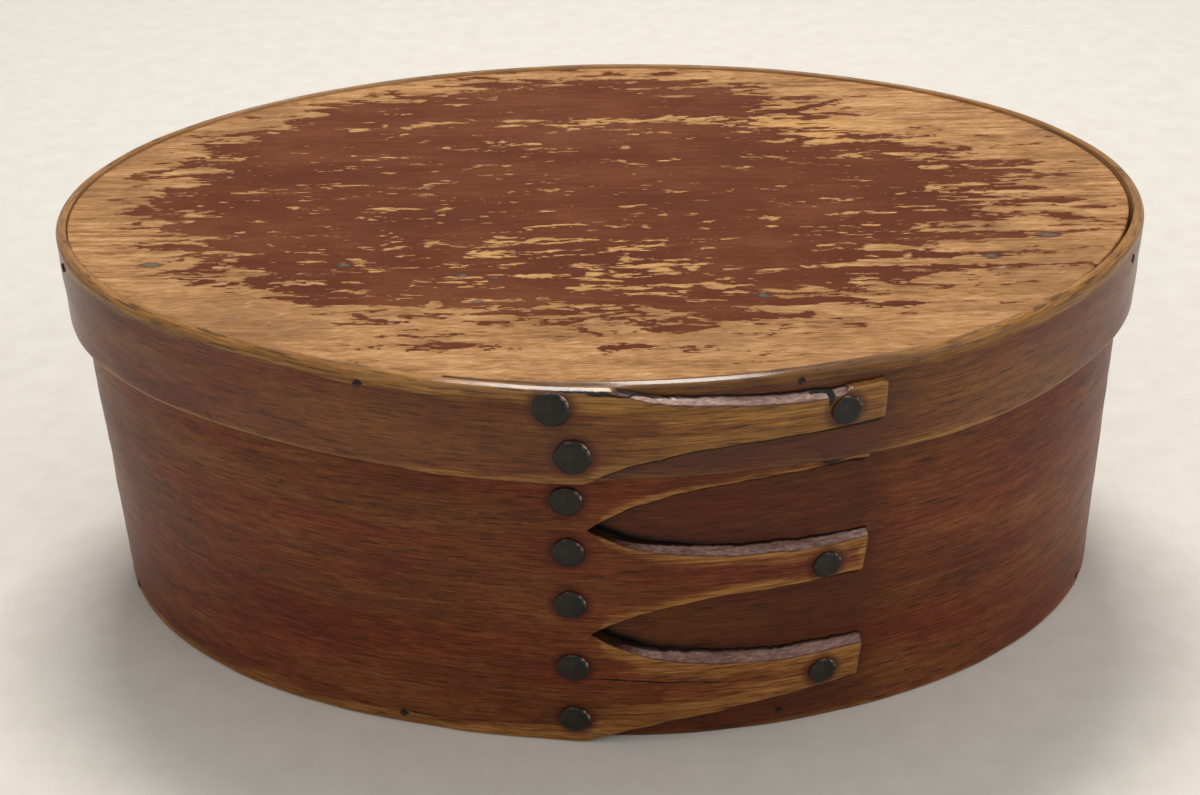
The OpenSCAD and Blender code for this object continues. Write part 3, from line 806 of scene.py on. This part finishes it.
def lid_edges(k, x):
    """Face and foot edges of the lid's one finger."""
    low = edge_z(x, root_x, 0, lid_tip_z - lid_tip_w / 2, lid_tip_x, notch_run)
    high = edge_z(x, lid_edge_x, lid_h, lid_tip_z + lid_tip_w / 2, lid_tip_x, notch_run)
    ragged = ease((x - lid_edge_x) / (5 * mm))
    low = low + 0.1 * mm * ripple(x, 0 * x, 9 * mm, mm, 51) * ragged
    high = high + 0.1 * mm * ripple(x, 0 * x, 9 * mm, mm, 52) * ragged
    seat = 0.02 * mm
    high_foot = np.minimum(high + cut_width(x, lid_edge_x, 53, 0.85, 0.05 * mm), (lid_h + mm + high) / 2 - seat)
    whole_tip = ease((x - lid_tip_x + lid_tack_in + 0.6 * mm) / (1.1 * mm))
    high = high + (high_foot - high) * 0.9 * whole_tip
    return low, high, np.maximum(low - bevel, (low - mm) / 2 + seat), high_foot


lid_strip = Strip(lid_h, lid_t, lid_tip_x, lid_face, edge_r, rim_r, lid_edge_x, lid_z, 0.2 * mm, 11)
lid_strip.last = 0
lid_strip.finger_edges = lid_edges
lid_strip.dust = [1.15]
lid_strip.cut_to = lid_tip_x - lid_tack_in - 0.4 * mm
lid_strip.deep_notch = 0.5
lid_strip.worn_flat = lambda x: ease((x + 34 * mm) / (18 * mm)) * ease((34 * mm - x) / (12 * mm))


def lid_rubbed(k, x, z, front):
    """The finger and the rim are rubbed the most, and the lower part of the band the least."""
    rim = 0.26 * ease((z - lid_h + 6 * mm) / (6 * mm))
    return 0.62 * ease((x + 14 * mm) / (24 * mm)) * front + rim


lid_strip.rubbed = lid_rubbed
lid_root_tacks = [(f_at(column_x + 1.6 * mm), lid_z + 0.32 * lid_h, lid_head_d),
                  (f_at(column_x - 1.0 * mm), lid_z + 0.82 * lid_h, lid_head_d)]
lid_tip_tack = (f_at(lid_tip_x - lid_tack_in), lid_z + lid_tip_z + lid_tack_high, tip_head_d)
lid_strip.tacks = [(on_wall(lid_strip.outer, f, z)[0], d) for f, z, d in [*lid_root_tacks, lid_tip_tack]]
lid_band = wind("lid_band_wood", lid_strip)
lid_cracks = [([(-2.6 * mm, 15.3 * mm), (2.9 * mm, 15.0 * mm), (8 * mm, 14.4 * mm)], 0.26 * mm),
              ([(32 * mm, 12.6 * mm), (34.7 * mm, 12.7 * mm), (35.1 * mm, 11.8 * mm), (34.7 * mm, 10.6 * mm)], 0.5 * mm),
              ([(-60.5 * mm, 1.7 * mm), (-59.6 * mm, 0.2 * mm)], 0.35 * mm)]
lid_band.data.materials.append(stained_maple(
    "lid_maple",
    (shade(66, 27, 10), shade(105, 48, 20), shade(138, 76, 36), shade(70, 37, 12), shade(112, 66, 24), shade(142, 92, 40)),
    (shade(104, 66, 26), shade(142, 96, 40), shade(180, 130, 62)), 0.85, 1.5, 0.35, lid_cracks))
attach(lid_band, "lid")
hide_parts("lid_band")

# Top board. Pine again, sprigged inside the lid's band almost flush with its rim. Its dark red paint is worn
# off in flakes along the grain, to bare golden wood at both ends and along the front.
top_low, top_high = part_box("top_board")
paint_middle = (-3 * mm, 4 * mm)
paint_reach = (70 * mm, 49 * mm)
bare_line_y = 32 * mm


def top_outline(f):
    """The top fills the lid's band but for the gap, which has opened at the right-hand end."""
    shrunk = 0.5 * mm * ease((np.sin(f) - 0.75) / 0.25)
    return lid_face(f) - lid_t - board_gap - shrunk


def painted_pine(name):
    """Pine with what is left of its paint. Four things are added up and the paint is there where the sum is
    above nought: the distance inside the painted oval, held down to a little above nought in its middle, long
    bands along the grain, short flakes, and a fine rag; small chips are then taken out of it."""
    look = Finish(name)
    place = look.put("TexCoord", {}).outputs["Object"]
    axes = look.put("SeparateXYZ", {0: place}).outputs
    lines = look.noise(place, (26, 820, 500), 4, 0.6, 2.0, 0.35)
    fuzz = look.noise(place, (380, 2600, 2000), 3, 0.7, 6.0)
    mottle = look.noise(place, (70, 230, 200), 4, 0.6, 4.0)
    soil = look.noise(place, (26, 48, 40), 4, 0.6, 9.0)
    front = look.step(axes[1], -24 * mm, -38 * mm)
    tone = look.math("MULTIPLY_ADD", fuzz, 0.4, look.math("MULTIPLY", mottle, 0.35))
    tone = look.math("MULTIPLY_ADD", lines, look.step(front, 0.0, 1.0, 0.4, 0.15), tone)
    tone = look.math("MULTIPLY_ADD", front, 0.125, tone)
    wood = look.ramp(tone, (0.46, shade(124, 84, 50)), (0.575, shade(178, 130, 85)), (0.7, shade(210, 166, 118)))
    wood = look.mix(look.step(soil, 0.42, 0.66, 0.0, 0.5), wood, shade(140, 99, 62))

    middle = {"Vector": place, "Location": (*paint_middle, 0), "Scale": (*paint_reach, 1)}
    oval_place = look.put("Mapping", middle, vector_type="TEXTURE").outputs["Vector"]
    flat = look.put("VectorMath", {0: oval_place, 1: (1, 1, 0)}, operation="MULTIPLY").outputs[0]
    reach = look.put("VectorMath", {0: flat}, operation="LENGTH").outputs["Value"]
    rightward = look.step(axes[0], 10 * mm, 60 * mm)
    frontward = look.math("MULTIPLY", look.step(axes[1], 0.0, -34 * mm), look.step(axes[0], -52 * mm, -14 * mm))
    soft = look.math("MAXIMUM", rightward, frontward)
    steep = look.step(soft, 0.0, 1.0, 2.8, 1.5)
    core = look.math("MULTIPLY_ADD", look.step(axes[0], 8 * mm, 30 * mm), 0.12, look.step(soft, 0.0, 1.0, 0.35, 0.2))
    inside = look.math("MULTIPLY", look.math("SUBTRACT", 1.0, reach), steep)
    inside = look.math("MINIMUM", inside, core)
    off_line = look.math("ABSOLUTE", look.math("SUBTRACT", axes[1], bare_line_y))
    line = look.math("MULTIPLY", look.step(off_line, 3.2 * mm, 0.6 * mm), look.step(reach, 1.0, 0.5))
    inside = look.math("MULTIPLY_ADD", line, -0.4, inside)
    back_right = look.math("MULTIPLY", look.step(axes[0], 16 * mm, 46 * mm), look.step(axes[1], 8 * mm, 28 * mm))
    inside = look.math("MULTIPLY_ADD", back_right, -0.35, inside)
    bands = look.noise(place, (22, 380, 100), 3, 0.55, 1.0, 0.15)
    flakes = look.noise(place, (130, 430, 200), 3, 0.6, 5.0, 0.5)
    rag = look.noise(place, (420, 1500, 600), 4, 0.65, 8.0)
    sum_up = look.math("MULTIPLY_ADD", look.math("SUBTRACT", bands, 0.5), look.step(soft, 0.0, 1.0, 0.35, 1.7), inside)
    sum_up = look.math("MULTIPLY_ADD", look.math("SUBTRACT", flakes, 0.5), 2.3, sum_up)
    sum_up = look.math("MULTIPLY_ADD", look.math("SUBTRACT", rag, 0.5), 0.95, sum_up)
    chips = look.noise(place, (230, 1150, 500), 3, 0.6, 31.0, 0.3)
    chipped = look.math("MULTIPLY", look.step(chips, 0.6, 0.7), look.step(axes[1], 0.0, 26 * mm, 0.45, 0.15))
    sum_up = look.math("SUBTRACT", sum_up, chipped)
    painted = look.step(sum_up, -0.012, 0.012)
    fresh = look.step(reach, 1.0, 0.75, 0.0, 0.75)
    gold = look.ramp(fuzz, (0.35, shade(180, 130, 74)), (0.65, shade(222, 176, 116)))
    wood = look.mix(fresh, wood, gold)
    wood = look.mix(look.step(sum_up, -0.34, -0.02, 0.0, 0.35), wood, shade(140, 90, 52))
    dashes = look.noise(place, (150, 1700, 900), 3, 0.6, 22.0, 0.3)
    wood = look.mix(look.step(dashes, 0.6, 0.7, 0.0, 0.55), wood, shade(104, 66, 38))
    smudge = look.math("MULTIPLY", look.step(soil, 0.54, 0.66), look.step(mottle, 0.42, 0.6, 0.0, 0.5))
    wood = look.mix(smudge, wood, shade(104, 78, 58))
    film = look.noise(place, (40, 80, 50), 4, 0.6, 12.0)
    faint = look.noise(place, (160, 1100, 500), 4, 0.65, 15.0)
    red = look.ramp(look.math("MULTIPLY_ADD", faint, 0.35, look.math("MULTIPLY", film, 0.65)),
                    (0.38, shade(88, 40, 20)), (0.5, shade(98, 46, 23)), (0.62, shade(112, 60, 34)))
    turned = look.put("Mapping", {"Vector": place, "Rotation": (0, 0, np.radians(-24))}).outputs["Vector"]
    scuffs = look.noise(turned, (260, 2000, 600), 2, 0.5, 18.0)
    red = look.mix(look.step(scuffs, 0.7, 0.8, 0.0, 0.6), red, shade(176, 128, 100))
    wood = look.mix(look.step(scuffs, 0.66, 0.78, 0.0, 0.6), wood, shade(226, 188, 138))
    colour = look.mix(painted, wood, red)
    for x, y, wide, tall in [(-20, -29, 1.7, 0.9), (-15, -30, 1.5, 0.8), (-39, -25, 1.5, 0.9), (26, -37, 1.6, 1.0),
                             (-17, -38, 1.2, 0.7), (72, -18, 2.2, 1.1), (62, -25, 1.6, 1.2), (-70, -24, 2.4, 1.1)]:
        ellipse = {"Vector": place, "Location": (x * mm, y * mm, top_high[2]), "Scale": (wide * mm, tall * mm, mm)}
        off = look.put("VectorMath", {0: look.put("Mapping", ellipse, vector_type="TEXTURE").outputs["Vector"]},
                       operation="LENGTH").outputs["Value"]
        off = look.math("MULTIPLY_ADD", rag, 1.2, off)
        colour = look.mix(look.step(off, 1.7, 1.3, 0.0, 0.75), colour, shade(74, 54, 44))
        colour = look.mix(look.step(off, 1.2, 0.9, 0.0, 0.6), colour, shade(112, 108, 102))
    rise = look.math("MULTIPLY_ADD", lines, 0.35, look.math("MULTIPLY", fuzz, 0.25))
    rise = look.math("MULTIPLY_ADD", look.step(sum_up, -0.03, 0.03), 0.8, rise)
    rough = look.math("MULTIPLY_ADD", painted, -0.08, look.step(mottle, 0.3, 0.7, 0.5, 0.62))
    look.join(look.shader, {"Base Color": colour, "Roughness": rough, "Normal": look.bump(rise, 0.12 * mm),
                            "Specular IOR Level": 0.06})
    return look.material


top_board = board_piece("top_board_wood", top_outline, top_low[2], top_high[2], 0.35 * mm, 0.12 * mm)
top_board.data.materials.append(painted_pine("painted_pine"))
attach(top_board, "lid")
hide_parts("top_board")

# Tacks and sprigs of the lid. The upper root tack meets the board's edge, so it is driven in straight like a
# nail; the other two are clinched like the base's.
nail_bite = 5 * mm
fit_tack("lid_root_tack_1", lid_strip, lid_root_tacks[0], np.pi / 2, 81, "lid")
fit_tack("lid_root_tack_2", lid_strip, lid_root_tacks[1], 0.0, 82, "lid", nail_bite)
fit_tack("lid_tip_tack", lid_strip, lid_tip_tack, np.pi / 2, 83, "lid")
fit_sprigs("lid", lid_strip, (top_low[2] + top_high[2]) / 2, [0.2, 0.8, 1.6, -0.9, 0.3, -0.4, 0.5, -0.2])

# Where the box stands: a plain pale floor, soft light from wide lamps overhead, in front and on both sides, one
# lamp behind that the lid's rim mirrors, and a pale room.
floor_half = 2.5
floor_mesh = bpy.data.meshes.new("floor")
floor_mesh.from_pydata([(-floor_half, -floor_half, 0), (floor_half, -floor_half, 0),
                        (floor_half, floor_half, 0), (-floor_half, floor_half, 0)], [], [(0, 1, 2, 3)])
floor = bpy.data.objects.new("floor", floor_mesh)
bpy.context.scene.collection.objects.link(floor)
plaster = Finish("pale_floor")
speckle = plaster.noise(plaster.put("TexCoord", {}).outputs["Object"], (160, 160, 160), 4, 0.6)
plaster.join(plaster.shader, {
    "Base Color": plaster.ramp(speckle, (0.3, shade(226, 221, 211)), (0.7, shade(234, 229, 220))),
    "Roughness": 0.85, "Normal": plaster.bump(speckle, 0.1 * mm)})
floor_mesh.materials.append(plaster.material)


def lamp(name, place, aim, size, power, colour):
    """A soft lamp, so wide and so deep, at a place, facing the point it is aimed at."""
    light = bpy.data.lights.new(name, "AREA")
    light.shape = "RECTANGLE"
    light.size, light.size_y = size
    light.energy = power
    light.color = colour
    holder = bpy.data.objects.new(name, light)
    way = np.array(aim) - np.array(place)
    holder.rotation_euler = (np.arctan2(np.hypot(way[0], way[1]), -way[2]), 0, np.arctan2(way[0], -way[1]) + np.pi)
    holder.location = place
    bpy.context.scene.collection.objects.link(holder)


lamp("ceiling", (0.2, 0.0, 1.1), (0, 0, 0.03), (0.9, 0.9), 2.1, (1.0, 0.98, 0.95))
lamp("window", (-0.5, -0.9, 0.75), (0, 0, 0.03), (0.7, 0.7), 1.85, (1.0, 0.97, 0.93))
lamp("skylight", (-0.02, 0.31, 0.83), (0, -0.059, 0.068), (0.3, 0.13), 4.9, (1.0, 0.97, 0.93))
lamp("fill", (0.9, -0.5, 0.6), (0, 0, 0.03), (0.8, 0.8), 2.6, (1.0, 0.98, 0.96))

room = bpy.data.worlds.new("room")
bpy.context.scene.world = room
room.use_nodes = True
sky = room.node_tree
sky.nodes.clear()
path = sky.nodes.new("ShaderNodeLightPath")
mirrored, seen = sky.nodes.new("ShaderNodeMath"), sky.nodes.new("ShaderNodeMath")
mirrored.operation = seen.operation = "MAXIMUM"
sky.links.new(path.outputs["Is Glossy Ray"], mirrored.inputs[0])
sky.links.new(path.outputs["Is Transmission Ray"], mirrored.inputs[1])
sky.links.new(path.outputs["Is Camera Ray"], seen.inputs[0])
sky.links.new(mirrored.outputs[0], seen.inputs[1])
soft, pale = sky.nodes.new("ShaderNodeBackground"), sky.nodes.new("ShaderNodeBackground")
soft.inputs["Color"].default_value = (0.95, 0.97, 1.0, 1)
soft.inputs["Strength"].default_value = 0.25
pale.inputs["Color"].default_value = shade(222, 218, 210)
choose = sky.nodes.new("ShaderNodeMixShader")
sky.links.new(seen.outputs[0], choose.inputs[0])
sky.links.new(soft.outputs[0], choose.inputs[1])
sky.links.new(pale.outputs[0], choose.inputs[2])
world_out = sky.nodes.new("ShaderNodeOutputWorld")
sky.links.new(choose.outputs[0], world_out.inputs["Surface"])

# The camera, at the photograph's angle: a little above and a little to the right of straight in front.
turn_round, look_down, lean = np.radians([2.064, 30.956, -1.763])
distance = 320.789 * mm
aside, below = -0.204 * mm, -5.298 * mm
middle_z = top_high[2] / 2 + 0.25 * mm
lens = 54.13
back = np.array([np.sin(turn_round) * np.cos(look_down), -np.cos(turn_round) * np.cos(look_down), np.sin(look_down)])
right = np.cross([0, 0, 1], back)
right = right / np.linalg.norm(right)
up = np.cross(back, right)
right, up = np.cos(lean) * right + np.sin(lean) * up, np.cos(lean) * up - np.sin(lean) * right
camera = bpy.data.objects.new("camera", bpy.data.cameras.new("camera"))
camera.data.lens = lens
camera.data.sensor_width = 36
camera.data.clip_start = 0.01
place = back * distance + right * aside + up * below + np.array([0, 0, middle_z])
matrix = np.eye(4)
matrix[:3, 0], matrix[:3, 1], matrix[:3, 2], matrix[:3, 3] = right, up, back, place
camera.matrix_world = matrix.T.tolist()
bpy.context.scene.collection.objects.link(camera)
bpy.context.scene.camera = camera
bpy.context.scene.view_settings.view_transform = "Standard"
